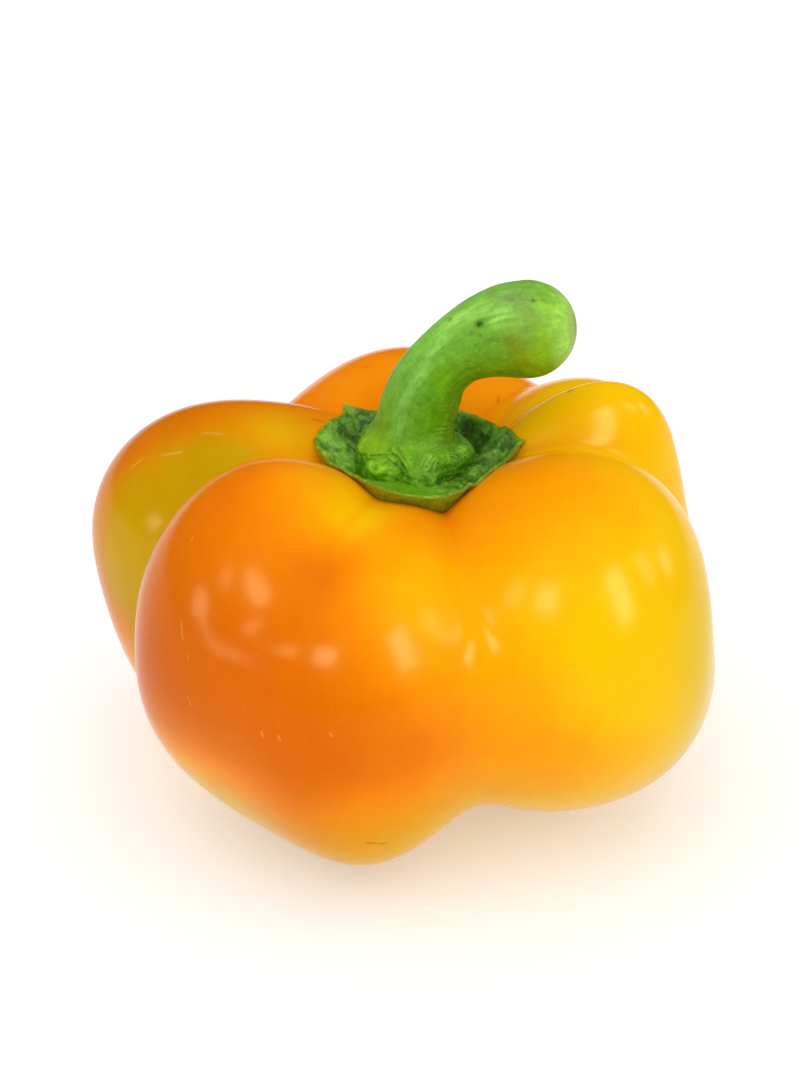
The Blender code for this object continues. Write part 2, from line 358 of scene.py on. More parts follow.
# ================================================================== materials
class Nodes:
    """Small helper for building a node tree."""

    def __init__(self, name):
        self.material = bpy.data.materials.new(name)
        self.material.use_nodes = True
        self.tree = self.material.node_tree
        self.shader = self.tree.nodes["Principled BSDF"]

    def add(self, kind, **settings):
        n = self.tree.nodes.new(kind)
        for key, value in settings.items():
            setattr(n, key, value)
        return n

    def put(self, socket, value):
        if isinstance(value, bpy.types.NodeSocket):
            self.tree.links.new(value, socket)
        else:
            socket.default_value = value

    def attribute(self, name, colour=False):
        n = self.add("ShaderNodeAttribute", attribute_name=name)
        return n.outputs["Color" if colour else "Fac"]

    def place(self):
        return self.add("ShaderNodeTexCoord").outputs["Object"]

    def math(self, what, a, b=0.0, c=0.0, clamp=False):
        n = self.add("ShaderNodeMath", operation=what, use_clamp=clamp)
        self.put(n.inputs[0], a)
        self.put(n.inputs[1], b)
        self.put(n.inputs[2], c)
        return n.outputs[0]

    def vector(self, what, a, b=(0, 0, 0), scale=None):
        n = self.add("ShaderNodeVectorMath", operation=what)
        self.put(n.inputs[0], a)
        if scale is None:
            self.put(n.inputs[1], b)
        else:
            self.put(n.inputs["Scale"], scale)
        return n.outputs["Value" if what in ("DOT_PRODUCT", "LENGTH", "DISTANCE") else "Vector"]

    def scaled(self, vector, x, y, z):
        return self.vector("MULTIPLY", vector, (x, y, z))

    def noise(self, vector, scale, detail=2.0, rough=0.5, warp=0.0):
        n = self.add("ShaderNodeTexNoise")
        self.put(n.inputs["Vector"], vector)
        n.inputs["Scale"].default_value = scale
        n.inputs["Detail"].default_value = detail
        n.inputs["Roughness"].default_value = rough
        n.inputs["Distortion"].default_value = warp
        return n.outputs["Fac"]

    def cells(self, vector, scale, spread=1.0):
        n = self.add("ShaderNodeTexVoronoi")
        self.put(n.inputs["Vector"], vector)
        n.inputs["Scale"].default_value = scale
        n.inputs["Randomness"].default_value = spread
        return n.outputs["Distance"]

    def ramp(self, value, stops, interpolation="LINEAR"):
        n = self.add("ShaderNodeValToRGB")
        n.color_ramp.interpolation = interpolation
        e = n.color_ramp.elements
        while len(e) < len(stops):
            e.new(0.5)
        for item, (where, colour) in zip(e, stops):
            item.position = where
            item.color = (*colour, 1.0)
        self.put(n.inputs["Fac"], value)
        return n.outputs["Color"]

    def between(self, value, low, high):
        """0 below low, 1 above high, smooth between."""
        n = self.add("ShaderNodeMapRange", interpolation_type="SMOOTHSTEP")
        self.put(n.inputs["Value"], value)
        n.inputs["From Min"].default_value = low
        n.inputs["From Max"].default_value = high
        return n.outputs["Result"]

    def fit(self, value, low, high, out_low, out_high):
        n = self.add("ShaderNodeMapRange")
        self.put(n.inputs["Value"], value)
        n.inputs["From Min"].default_value = low
        n.inputs["From Max"].default_value = high
        n.inputs["To Min"].default_value = out_low
        n.inputs["To Max"].default_value = out_high
        return n.outputs["Result"]

    def mix(self, weight, a, b, blend="MIX"):
        n = self.add("ShaderNodeMix", data_type="RGBA", blend_type=blend)
        n.clamp_factor = True
        self.put(n.inputs["Factor"], weight)
        for socket, value in ((n.inputs[6], a), (n.inputs[7], b)):
            if isinstance(value, bpy.types.NodeSocket):
                self.tree.links.new(value, socket)
            else:
                socket.default_value = (*value, 1.0)
        return n.outputs[2]

    def bump(self, height, distance, strength=1.0, normal=None):
        n = self.add("ShaderNodeBump")
        n.inputs["Strength"].default_value = strength
        n.inputs["Distance"].default_value = distance
        self.put(n.inputs["Height"], height)
        if normal is not None:
            self.put(n.inputs["Normal"], normal)
        return n.outputs["Normal"]

    def stroke(self, point, start, end, width):
        """1 on the line from start to end, in metres, 0 off it."""
        a, b = Vector(start), Vector(end)
        ab = b - a
        rel = self.vector("SUBTRACT", point, tuple(a))
        along = self.math("DIVIDE", self.vector("DOT_PRODUCT", rel, tuple(ab)),
                          max(ab.length_squared, 1e-12), clamp=True)
        nearest = self.vector("SCALE", tuple(ab), scale=along)
        away = self.vector("LENGTH", self.vector("SUBTRACT", rel, nearest))
        return self.fit(away, width * 0.35, width * 0.65, 1.0, 0.0)


# ================================================================ build fruit
def build_fruit():
    a = np.arange(FRUIT_AROUND) * 2 * pi / FRUIT_AROUND
    lat = np.linspace(-pi / 2, pi / 2, FRUIT_UP + 1)[1:-1]
    la, aa = np.meshgrid(lat, a, indexing="ij")
    d = np.stack([np.cos(la) * np.cos(aa), np.cos(la) * np.sin(aa), np.sin(la)], -1)
    poles = np.array([[0, 0, -1.0], [0, 0, 1.0]])
    dirs = np.vstack([d.reshape(-1, 3), poles])
    r = fruit_radius(dirs)

    # the wall is not perfectly even: long shallow flutes and soft dimples
    flat = dirs * 42.0
    quiet = step(dirs[:, 2], 0.97, 0.80)
    r = r + quiet * (0.075 * noise(flat, (9, 9, 26), 11)
                     + 0.022 * noise(flat, (5.5, 5.5, 14), 23)
                     + 0.010 * noise(flat, (2.2, 2.2, 3.4), 37))

    low = 90.0 + np.degrees(np.arcsin(np.clip(dirs[:, 2], -1, 1)))
    r = r - 1.6 * bell(low, 8.0) + 1.2 * bell(low, 3.0)

    p = dirs * r[:, None] + np.array([0, 0, HEART])
    z = p[:, 2] - FEET_FLATTENED
    p[:, 2] = np.where(z < 1.2, 0.5 * (z + np.sqrt(z * z + 0.10)), z) + FEET_FLATTENED
    p[:, 2] = np.maximum(p[:, 2], FEET_FLATTENED + 0.004)
    row = to_row(p)
    obj = grid_mesh("pepper_fruit", row[:-2].reshape(FRUIT_UP - 1, FRUIT_AROUND, 3),
                    row[-2], row[-1])

    # the ripeness and greenness of each part of the skin, how near it lies to a join of
    # two lobes (for painted shade in the creases), and where other painted shade and
    # painted floor reflection fall
    ripe_and_painted_light = np.full(len(dirs), 0.42)
    for compass, latitude, spread, amount in RIPENESS_AND_PAINTED_LIGHT.values():
        angle = np.arccos(np.clip(dirs @ sphere_direction(compass, latitude), -1, 1))
        ripe_and_painted_light = ripe_and_painted_light + amount * np.exp(-0.5 * (angle / radians(spread)) ** 2)
    ripe_and_painted_light = ripe_and_painted_light + 0.07 * layered(flat, (9, 9, 22), 5)
    # painted reflection: the underside turns yellower, standing in for light reflected up from the pale
    # floor
    ripe_and_painted_light = ripe_and_painted_light + 0.55 * step(dirs[:, 2], -0.06, -0.50)
    compass = np.degrees(np.arctan2(dirs[:, 1], dirs[:, 0])) % 360
    latitude = np.degrees(np.arcsin(np.clip(dirs[:, 2], -1, 1)))
    patch = bell(gap_deg(compass, 190), 13) * step(latitude, -25, 2) * step(latitude, 55, 38)
    # painted shade: darker on the left-back lobe, across the whole underside and down the front-left edge
    painted_shade = bell(gap_deg(compass, 168), 20) * step(latitude, -45, -5) * step(latitude, 66, 52)
    painted_shade = np.maximum(0.85 * painted_shade, 1.0 * step(latitude, -6, -24)
                      * (0.55 + 0.45 * bell(gap_deg(compass, 232), 30)))
    painted_shade = np.maximum(painted_shade, 0.55 * bell(gap_deg(compass, 214), 11) * step(latitude, 40, 14))
    lime = bell(gap_deg(compass, 327), 9) * bell(latitude - 2, 17)
    lime = lime * (1 + 0.45 * layered(flat, (7, 7, 12), 77)) + 0.30 * bell(
        gap_deg(compass, 340), 10) * bell(latitude + 12, 10)
    below = 90.0 + latitude                     # degrees from the blossom end
    scar = step(below + 2.0 * noise(flat, 2.0, 93), 9.0, 4.5)
    patch = patch + 0.10 * layered(flat, 9, 71) * step(patch, 0.1, 0.4)
    reach = np.array([lobe_reach(dirs, lobe) for lobe in LOBES.values()])
    reach.sort(axis=0)
    # painted shade: strongest where two lobes meet, near the calyx
    crease_shade = np.exp(-(reach[-1] - reach[-2]) / 1.2) * step(dirs[:, 2], 0.45, 0.85)
    paint(obj, "ripe_and_painted_light", np.clip(ripe_and_painted_light, 0, 1))
    paint(obj, "unripe_patch", np.clip(patch, 0, 1))
    paint(obj, "crease_shade", crease_shade)
    paint(obj, "painted_shade", painted_shade)
    paint(obj, "lime", np.clip(lime, 0, 1))
    paint(obj, "scar", scar)
    return obj


FLECKS = (   # pale scuffs: from and to as direction, latitude; width in mm
    ((174.6, 40.5), (173.0, 37.3), 0.45), ((176.2, 32.0), (174.8, 28.6), 0.4),
    ((173.1, 25.0), (173.1, 22.6), 0.45), ((218.6, 29.0), (218.9, 28.2), 0.30),
    ((223.8, 15.3), (225.0, 12.4), 0.30), ((226.6, 10.2), (226.9, 9.6), 0.3),
    ((227.3, 2.9), (228.0, 1.4), 0.28),
    ((242.9, 1.3), (243.2, 0.6), 0.5), ((246.1, 1.5), (246.4, 1.0), 0.45),
    ((255.0, 3.5), (255.3, 3.0), 0.45),
)
SCRATCHES = (   # fine brown marks
    ((107.6, 45.9), (109.4, 45.4), 0.5), ((153.5, 57.4), (156.4, 55.4), 0.4),
    ((55.4, 46.8), (57.6, 45.3), 0.45), ((15.6, 52.6), (16.3, 52.0), 0.6),
    ((260.2, -21.2), (263.8, -22.6), 0.5),
)


def on_skin(compass, latitude):
    d = sphere_direction(compass, latitude)[None]
    return to_row(d[0] * fruit_radius(d)[0] + np.array([0, 0, HEART]))


def fruit_material():
    n = Nodes("pepper_skin")
    s = n.shader
    where = n.place()
    # ripeness tone, with painted shade in a valley and painted floor reflection on the underside
    ripe_and_painted_light = n.attribute("ripe_and_painted_light")
    wide = n.noise(where, 70.0, 3.0, 0.5)
    fine = n.noise(n.scaled(where, 1, 1, 0.45), 420.0, 3.0, 0.55)
    tone = n.math("ADD", ripe_and_painted_light, n.fit(wide, 0.3, 0.7, -0.05, 0.05))
    tone = n.math("ADD", tone, n.fit(fine, 0.3, 0.7, -0.02, 0.02))
    skin = n.ramp(tone, (
        (0.00, linear(222, 104, 0)),
        (0.22, linear(233, 120, 0)),
        (0.42, linear(249, 139, 0)),
        (0.72, linear(253, 166, 0)),
        (1.00, linear(255, 196, 0)),
    ))
    olive = n.ramp(n.math("ADD", tone, n.fit(wide, 0.3, 0.7, -0.1, 0.1)), (
        (0.0, linear(208, 148, 0)), (0.5, linear(220, 170, 0)),
        (1.0, linear(232, 190, 6))))
    patch = n.math("ADD", n.attribute("unripe_patch"), n.fit(fine, 0.3, 0.7, -0.06, 0.06))
    skin = n.mix(n.between(patch, 0.22, 0.75), skin, olive)
    skin = n.mix(n.math("MULTIPLY", n.between(n.attribute("lime"), 0.05, 1.0), 0.62), skin,
                 linear(214, 192, 24))
    # painted shade: the skin is darkened on the left-back lobe, underneath and down the front-left edge
    skin = n.mix(n.attribute("painted_shade"), skin, (0.72, 0.74, 0.8), "MULTIPLY")
    # the corky scar of the flower, underneath
    cork = n.ramp(fine, ((0.3, linear(96, 66, 30)), (0.7, linear(158, 124, 70))))
    skin = n.mix(n.math("MULTIPLY", n.attribute("scar"), 0.9), skin, cork)
    # painted shade: a deeper orange in the creases near the calyx
    crease_shade = n.attribute("crease_shade")
    skin = n.mix(n.math("MULTIPLY", crease_shade, 0.35), skin, (0.86, 0.26, 0.0), "MULTIPLY")

    # tiny pale pores, a touch lighter than the skin around them
    pores = n.between(n.cells(where, 520.0), 0.16, 0.05)
    skin = n.mix(n.math("MULTIPLY", pores, 0.05), skin, linear(255, 205, 90))

    pale = None
    for a, b, width in FLECKS:
        m = n.stroke(where, on_skin(*a), on_skin(*b), width * MM)
        pale = m if pale is None else n.math("MAXIMUM", pale, m)
    brown = None
    for a, b, width in SCRATCHES:
        m = n.stroke(where, on_skin(*a), on_skin(*b), width * MM)
        brown = m if brown is None else n.math("MAXIMUM", brown, m)
    grain = n.fit(n.noise(where, 2600.0, 2.0), 0.35, 0.65, 0.35, 1.0)
    skin = n.mix(n.math("MULTIPLY", n.math("MULTIPLY", pale, grain), 0.22), skin,
                 linear(250, 205, 120))
    skin = n.mix(n.math("MULTIPLY", n.math("MULTIPLY", brown, grain), 0.5), skin,
                 linear(150, 66, 10))
    n.put(s.inputs["Base Color"], skin)
    s.inputs["Metallic"].default_value = 0.0
    n.put(s.inputs["Roughness"], n.fit(wide, 0.3, 0.7, 0.17, 0.22))
    s.inputs["Specular IOR Level"].default_value = 0.13
    s.inputs["Specular Tint"].default_value = (1.0, 0.86, 0.40, 1.0)
    s.inputs["Subsurface Weight"].default_value = 0.10
    s.inputs["Subsurface Radius"].default_value = (1.0, 0.45, 0.08)
    s.inputs["Subsurface Scale"].default_value = 0.003
    tiny = n.noise(where, 900.0, 3.0, 0.6)
    n.put(s.inputs["Normal"], n.bump(n.math("ADD", tiny, n.math("MULTIPLY", pale, 0.8)),
                                     0.00002, 0.6))
    return n.material


# ================================================================ build calyx
def calyx_rim(compass):
    table = np.array(CALYX_RIM_RADIUS, float)
    fine = np.arange(0, 360, 0.5)
    r = np.interp(fine, table[:, 0], table[:, 1], period=360)
    kernel = bell(np.arange(-8, 9) * 0.5, 0.8)
    kernel /= kernel.sum()
    r = sum(w * np.roll(r, k - 8) for k, w in enumerate(kernel))
    radius = np.interp(compass, fine, r, period=360)
    height = np.full(len(compass), CALYX_RIM_HEIGHT)
    for where, width, rise in CALYX_RIM_RISES:
        height = height + rise * bell(gap_deg(compass, where), width)
    return radius, height


def build_calyx():
    n = CALYX_AROUND
    compass = np.arange(n) * 360.0 / n
    ca, sa = np.cos(np.radians(compass)), np.sin(np.radians(compass))
    rim, top = calyx_rim(compass)
    wave = noise(np.stack([ca * 15, sa * 15, np.zeros(n)], 1), 2.2, 91)
    rim = rim + 0.16 * wave
    top = top + 0.14 * noise(np.stack([ca * 15, sa * 15, np.zeros(n)], 1), 1.6, 57)
    over = fruit_height(rim * ca, rim * sa)
    top = np.maximum(top, over + 0.35)
    lean = 0.7 + 0.9 * bell(gap_deg(compass, 276), 26)
    base = rim - lean
    base_z = fruit_height(base * ca, base * sa)

    def fruit_at(r):
        return fruit_height(r * ca, r * sa)

    rings, kind = [], []          # kind: 0 under, 1 outer wall, 2 lip, 3 inside

    def ring(r, z, k):
        rings.append(np.stack([r * ca, r * sa, z], 1))
        kind.append(k)

    for s in (0.25, 0.5, 0.7, 0.85, 0.95):                  # hidden under side
        r = base * s
        ring(r, fruit_at(r) + 0.05 - 0.15 * s, 0)
    for s in np.linspace(0, 1, 12):                         # outer wall
        bulge = 0.35 * np.sin(pi * s)
        ring(base + (rim - base) * s ** 1.25 + bulge * 0.3 - 0.0,
             base_z - 0.2 + (top - 0.30 - base_z + 0.2) * s, 1 + 0.0 * s)
    for ang in (25, 55, 90, 125, 155):                      # rounded lip
        ring(rim - 0.34 + 0.34 * cos(radians(ang)), top - 0.30 + 0.30 * sin(radians(ang)), 2)
    inner_r = rim - 0.70
    floor_r = 11.2
    floor_z = 55.0 + 1.25 * bell(gap_deg(compass, 252), 36)
    for s in np.linspace(0.04, 1, 30):                      # inner wall
        r = inner_r + (floor_r - inner_r) * s
        drop = step(np.array([s]), -0.10, 0.95)[0] ** 0.85
        z = top - 0.35 + (floor_z - (top - 0.35)) * drop
        z = np.maximum(z, fruit_at(r) + 0.25)
        ring(r, z, 3)
    for s in np.linspace(0.95, 0.06, 20):                   # floor
        r = floor_r * s
        level = floor_z.mean() + (floor_z - floor_z.mean()) * s
        ring(r, np.maximum(level, fruit_at(r) + 0.3), 4)

    p = np.array(rings)
    kinds = np.repeat(np.array(kind, float), n)
    flat = p.reshape(-1, 3)
    inside = (kinds >= 2.5)
    wall = (kinds == 1)
    radial = np.stack([np.tile(ca, len(rings)), np.tile(sa, len(rings)),
                       np.zeros(len(flat))], 1)
    crumple = 0.42 * layered(flat, (2.4, 2.4, 2.2), 41, 3, 0.6)
    crumple += 0.26 * (1 - 2 * np.abs(noise(flat, 1.6, 47)))
    away = np.hypot(flat[:, 0] + 1.3, flat[:, 1])
    smooth_floor = bell(gap_deg(np.degrees(np.arctan2(flat[:, 1], flat[:, 0])), 245), 28)
    crumple *= 1 - 0.75 * smooth_floor
    for x, y, size, rise in CALYX_LUMPS:
        crumple += 1.25 * rise * np.exp(-0.5 * ((flat[:, 0] - x) ** 2 + (flat[:, 1] - y) ** 2) / size ** 2)
    flat[:, 2] += np.where(inside, crumple * step(away, 16.4, 14.8), 0)
    flat += radial * np.where(inside, 0.30 * layered(flat, 2.0, 53, 2), 0)[:, None] \
        * step(away, 16.2, 15.0)[:, None]
    flat += radial * np.where(wall, 0.12 * layered(flat, (1.8, 1.8, 3.0), 67, 2), 0)[:, None]
    low = fruit_height(flat[:, 0], flat[:, 1])
    flat[:, 2] = np.where(inside, np.maximum(flat[:, 2], low + 0.12), flat[:, 2])
    row = to_row(flat)
    centre_low = to_row(np.array([0, 0, fruit_height(np.zeros(1), np.zeros(1))[0] + 0.05]))
    centre_top = to_row(np.array([0, 0, floor_z.mean()]))
    obj = grid_mesh("pepper_calyx", row.reshape(len(rings), n, 3), centre_low, centre_top)

    # colour: dark mottled walls inside, bright floor at the front, pale lip,
    # outer wall from green at the lip through olive to brown at its foot; painted light
    # brightens the inside walls, and the lumps inside carry painted highlight and shade
    az = np.degrees(np.arctan2(flat[:, 1], flat[:, 0])) % 360
    high = flat[:, 2]
    mott = layered(flat, 1.3, 101, 3, 0.6)
    blot = layered(flat, 3.0, 111, 2, 0.5)
    colour = np.tile(linear(72, 108, 30), (len(flat), 1))
    colour = mixed(colour, linear(86, 122, 50), 0.9 * bell(gap_deg(az, 160), 32))
    colour = mixed(colour, linear(54, 88, 16), 0.9 * bell(gap_deg(az, 318), 26))
    colour = mixed(colour, linear(70, 110, 20), 0.7 * bell(gap_deg(az, 30), 30))
    colour = mixed(colour, linear(38, 68, 10), 0.9 * step(mott, -0.02, -0.30))
    colour = mixed(colour, linear(106, 146, 56), 0.85 * step(mott + 0.3 * blot, 0.08, 0.36))
    front = bell(gap_deg(az, 244), 26) + 0.8 * bell(gap_deg(az, 275), 10)
    colour = mixed(colour, linear(98, 152, 8), np.where(inside, 0.95 * front, 0))
    # painted light: the inside of the cup is brightened, least at the front and most on the left and right
    # walls
    painted_light_inside = 1.85 - 0.65 * np.clip(front, 0, 1)
    painted_light_inside = painted_light_inside + 0.80 * bell(gap_deg(az, 182), 34) + 0.85 * bell(gap_deg(az, 345), 34)
    colour = colour * np.where(inside, painted_light_inside, 1.0)[:, None]
    # painted highlight and shade: each raised lump inside the cup is painted lighter, each pit darker
    for x, y, size, rise in CALYX_LUMPS:
        near = np.exp(-0.5 * ((flat[:, 0] - x) ** 2 + (flat[:, 1] - y) ** 2) / (1.1 * size) ** 2)
        shade = linear(132, 184, 72) if rise > 0 else linear(40, 66, 8)
        colour = mixed(colour, shade, np.where(inside, 0.85 * near, 0) * step(mott, -0.7, 0.0))
    # painted highlight: a pale spot on top of the tallest lump
    painted_lump_highlight = np.exp(-0.5 * ((flat[:, 0] - 10.6) ** 2 + (flat[:, 1] - 0.6) ** 2) / 0.8 ** 2)
    colour = mixed(colour, linear(176, 220, 120), painted_lump_highlight * step(mott, -0.2, 0.3))
    colour = mixed(colour, linear(112, 148, 20), np.where(inside, step(away, 15.2, 16.2), 0)
                   * step(high, 57.4, 58.4) * 0.6)
    tall = np.repeat(np.concatenate([np.zeros(5), np.linspace(0, 1, 12),
                                     np.ones(len(rings) - 17)]), n)
    side = mixed(np.tile(linear(150, 188, 14), (len(flat), 1)), linear(150, 174, 12),
                 step(tall, 0.75, 0.30))
    side = mixed(side, linear(150, 126, 2), step(tall, 0.22, 0.04))
    side = mixed(side, linear(184, 158, 10),
                 0.7 * (1 - bell(gap_deg(az, 272), 22)) * step(tall, 0.1, 0.4))
    side = mixed(side, linear(96, 128, 14), 0.5 * step(mott, 0.1, 0.5))
    colour = np.where(wall[:, None], side, colour)
    lip = (kinds == 2)
    colour = np.where(lip[:, None], mixed(np.tile(linear(122, 150, 16), (len(flat), 1)),
                                          linear(150, 182, 40), step(mott, 0.0, 0.4)), colour)
    teeth = sum(bell(gap_deg(az, a), w) for a, w in ((195, 2.0), (216, 1.6), (299, 2.2),
                                                     (2.5, 2.6), (132.5, 2.2)))
    colour = mixed(colour, linear(158, 194, 48), np.clip(teeth, 0, 1) * step(high, 58.0, 58.8) * 0.9)
    colour = np.vstack([colour, colour[:1], colour[-1:]])
    paint(obj, "tint", np.clip(colour, 0, 1))
    return obj


def calyx_material():
    n = Nodes("calyx_skin")
    s = n.shader
    where = n.place()
    tint = n.attribute("tint", True)
    fine = n.noise(where, 1500.0, 4.0, 0.6)
    cell = n.cells(where, 1100.0)
    tint = n.mix(n.fit(fine, 0.35, 0.65, 0.0, 0.35), tint, (0.62, 0.68, 0.45), "MULTIPLY")
    tint = n.mix(n.math("MULTIPLY", n.between(cell, 0.5, 0.75), 0.15), tint, linear(124, 164, 60))
    tiny = n.noise(where, 2300.0, 2.0, 0.55)
    tint = n.mix(n.math("MULTIPLY", n.between(tiny, 0.54, 0.66), 0.30), tint, linear(120, 172, 50))
    tint = n.mix(n.math("MULTIPLY", n.between(tiny, 0.46, 0.36), 0.35), tint, linear(36, 62, 6))
    tint = n.mix(1.0, tint, (0.98, 1.0, 0.75), "MULTIPLY")
    n.put(s.inputs["Base Color"], tint)
    n.put(s.inputs["Roughness"], n.fit(fine, 0.3, 0.7, 0.42, 0.62))
    s.inputs["Specular IOR Level"].default_value = 0.20
    n.put(s.inputs["Normal"], n.bump(fine, 0.00026, 0.9))
    return n.material


# ================================================================= build stem
def stem_line(t):
    pts = np.array(STEM_LINE)
    n = len(pts) - 1
    s = np.clip(t, 0, 1) * n
    i = np.minimum(s.astype(int), n - 1)
    f = (s - i)[:, None]
    a, b = pts[np.maximum(i - 1, 0)], pts[i]
    c, d = pts[i + 1], pts[np.minimum(i + 2, n)]
    return 0.5 * (2 * b + (c - a) * f + (2 * a - 5 * b + 4 * c - d) * f ** 2
                  + (3 * b - a - 3 * c + d) * f ** 3)


def build_stem():
    t = np.linspace(0, 1, STEM_ALONG + 1)
    line = stem_line(t)
    # ease the small kinks of the curve out
    kernel = bell(np.arange(-5, 6), 2.4)
    kernel /= kernel.sum()
    padded = np.vstack([line[:1] - (line[5:0:-1] - line[:1]), line,
                        line[-1:] + (line[-1:] - line[-2:-7:-1])])
    line = sum(w * padded[k:k + len(t)] for k, w in enumerate(kernel))
    middle, half = line[:, :3], line[:, 3]
    along = np.gradient(middle, axis=0)
    along /= np.linalg.norm(along, axis=1)[:, None]
    w = step(middle[:, 2], 58.5, 62.5)[:, None]
    along = along * w + np.array([0, 0, 1.0]) * (1 - w)
    along /= np.linalg.norm(along, axis=1)[:, None]

    # the rounded end
    turn = np.linspace(0, pi / 2, STEM_TIP_RINGS + 2)[1:-1]
    end_dir = along[-1]
    middle = np.vstack([middle, middle[-1] + STEM_TIP_LENGTH * np.sin(turn)[:, None] * end_dir])
    half = np.concatenate([half, half[-1] * np.cos(turn) ** 0.97])
    along = np.vstack([along, np.tile(end_dir, (len(turn), 1))])
    tt = np.concatenate([t * 10 * STEM_POINT, 10 * STEM_POINT + 0.2 * np.sin(turn)])

    side = np.array([0, 1.0, 0])
    across = np.cross(side, along)
    across /= np.linalg.norm(across, axis=1)[:, None]
    up = np.cross(along, across)
    ang = np.arange(STEM_AROUND) * 360.0 / STEM_AROUND
    ca, sa = np.cos(np.radians(ang)), np.sin(np.radians(ang))
    T, A = np.meshgrid(tt, ang, indexing="ij")
    rad = across[:, None, :] * ca[None, :, None] + up[:, None, :] * sa[None, :, None]
    H = np.repeat(half[:, None], STEM_AROUND, 1)
    run = np.concatenate([[0], np.cumsum(np.hypot(
        np.linalg.norm(np.diff(middle, axis=0), axis=1), np.diff(half)))])
    S = np.repeat(run[:, None], STEM_AROUND, 1)            # millimetres along
    W = np.radians(A) * np.maximum(H, 3.0)                 # millimetres around
    p = middle[:, None, :] + rad * H[..., None]
    flat = p.reshape(-1, 3)

    def run_at(at_t):
        return np.interp(at_t, tt, run)

    def here(at_t, at_a, long_mm, wide_mm):
        """A soft spot at t, angle, with sizes in millimetres."""
        ds = S - run_at(at_t)
        da = np.radians(gap_deg(A, at_a)) * np.maximum(H, 3.0)
        return np.exp(-0.5 * ((ds / long_mm) ** 2 + (da / wide_mm) ** 2))

    def path(points, wide_mm):
        """A soft line through points given as t, angle."""
        best = np.full(T.shape, 1e9)
        for (t0, a0), (t1, a1) in zip(points, points[1:]):
            ds, da = S - run_at(t0), np.radians(gap_deg(A, a0)) * np.maximum(H, 3.0)
            es = run_at(t1) - run_at(t0)
            ea = radians(gap_deg(a1, a0)) * np.interp(0.5 * (t0 + t1), tt, half)
            k = np.clip((ds * es + da * ea) / (es * es + ea * ea), 0, 1)
            best = np.minimum(best, np.hypot(ds - k * es, da - k * ea))
        return np.exp(-0.5 * (best / wide_mm) ** 2)

    sw = np.stack([S, 6.0 * ca[None, :] + 0 * S, 6.0 * sa[None, :] + 0 * S], -1).reshape(-1, 3)
    wobble = noise(flat, 2.6, 3).reshape(T.shape)
    foot = step(T, 0.27, 0.14)
    shaft = step(T, 0.22, 0.34)
    tip = step(T, 0.93, 1.08)
    lift = 0.35 * foot * np.cos(np.radians(5 * A + 20))
    lift = lift + 1.35 * here(0.100, 237, 1.05, 1.45)        # light round bump
    lift = lift + 0.75 * here(0.160, 200, 0.85, 2.2)         # left shelf
    lift = lift - 0.15 * here(0.110, 190, 1.0, 2.6)
    lift = lift - 0.45 * here(0.215, 200, 0.7, 3.0)
    lift = lift + 0.65 * here(0.140, 272, 2.0, 1.3)          # middle ridge
    lift = lift + 1.15 * here(0.145, 322, 1.9, 3.4)          # right bulge
    lift = lift + 0.7 * here(0.110, 345, 1.6, 2.4)
    lift = lift + 0.55 * here(0.050, 290, 0.9, 1.5)
    lift = lift - 0.55 * here(0.090, 213, 1.3, 0.8) - 0.6 * here(0.075, 258, 1.6, 0.7)
    lift = lift - 0.5 * here(0.060, 305, 1.2, 0.9)
    for fold, deep in STEM_FOLDS:
        lift = lift - deep * path(fold, 0.17) + 0.6 * deep * path(
            [(a + 0.012, b + 2.5) for a, b in fold], 0.20)
    ds = S - run_at(0.094)
    da = np.radians(gap_deg(A, 309)) * np.maximum(H, 3.0)
    whorl = np.hypot(ds * 1.05, da)
    ragged = noise(flat, 0.9, 13).reshape(T.shape)
    prints = np.cos(whorl * 2 * pi / 0.60 + 1.6 * wobble + 1.5 * ragged) \
        * bell(whorl - 2.7, 1.25) * step(ds, -0.6, 0.6) * step(ragged + 0.5 * wobble, -0.6, 0.15)
    lift = lift + 0.07 * prints
    crinkle = np.cos(S * 2 * pi / 0.95 + 2.6 * wobble + 0.5 * np.sin(W * 2.1)) \
        * step(noise(flat, 1.9, 83).reshape(T.shape), -0.25, 0.35)
    lift = lift + 0.075 * crinkle * here(0.38, 300, 3.0, 3.0)
    # long ridges, shallow hollows and a grainy foot
    lift = lift + shaft * (1 - 0.6 * tip) * (
        0.10 * np.cos(np.radians(5 * A + 40))
        + 0.13 * noise(sw, (9, 3.2, 3.2), 17).reshape(T.shape)
        + 0.05 * noise(sw, (5, 0.9, 0.9), 19).reshape(T.shape))
    lift = lift + (0.05 + 0.30 * foot) * layered(flat, 1.5, 29, 3).reshape(T.shape)
    pebbled = 1 - 2 * np.abs(noise(flat, 0.85, 59)).reshape(T.shape)
    lift = lift + 0.09 * foot * pebbled
    lift = lift - 0.42 * here(0.766, 228, 0.42, 0.42) + 0.10 * here(0.766, 228, 0.8, 0.8)
    lift = lift + tip * 0.10 * layered(flat, 2.6, 87, 2).reshape(T.shape)
    lift = lift * step(H, 0.0, 2.0)
    p = p + rad * lift[..., None]
    last = middle[-1] + end_dir * 0.02
    row = to_row(p.reshape(-1, 3)).reshape(p.shape)
    obj = grid_mesh("pepper_stem", row, to_row(middle[0]), to_row(last))

    # ------------------------------------------------ colours along the stem
    streak = layered(sw, (7.0, 0.9, 0.9), 61, 3, 0.6)
    mott = layered(flat, 1.8, 73, 3, 0.6)
    grain = layered(flat, 0.7, 79, 2, 0.6)
    Tf, Af = T.ravel(), A.ravel()

    def spot(*k):
        return here(*k).ravel()

    def line_(points, wide):
        return path(points, wide).ravel()

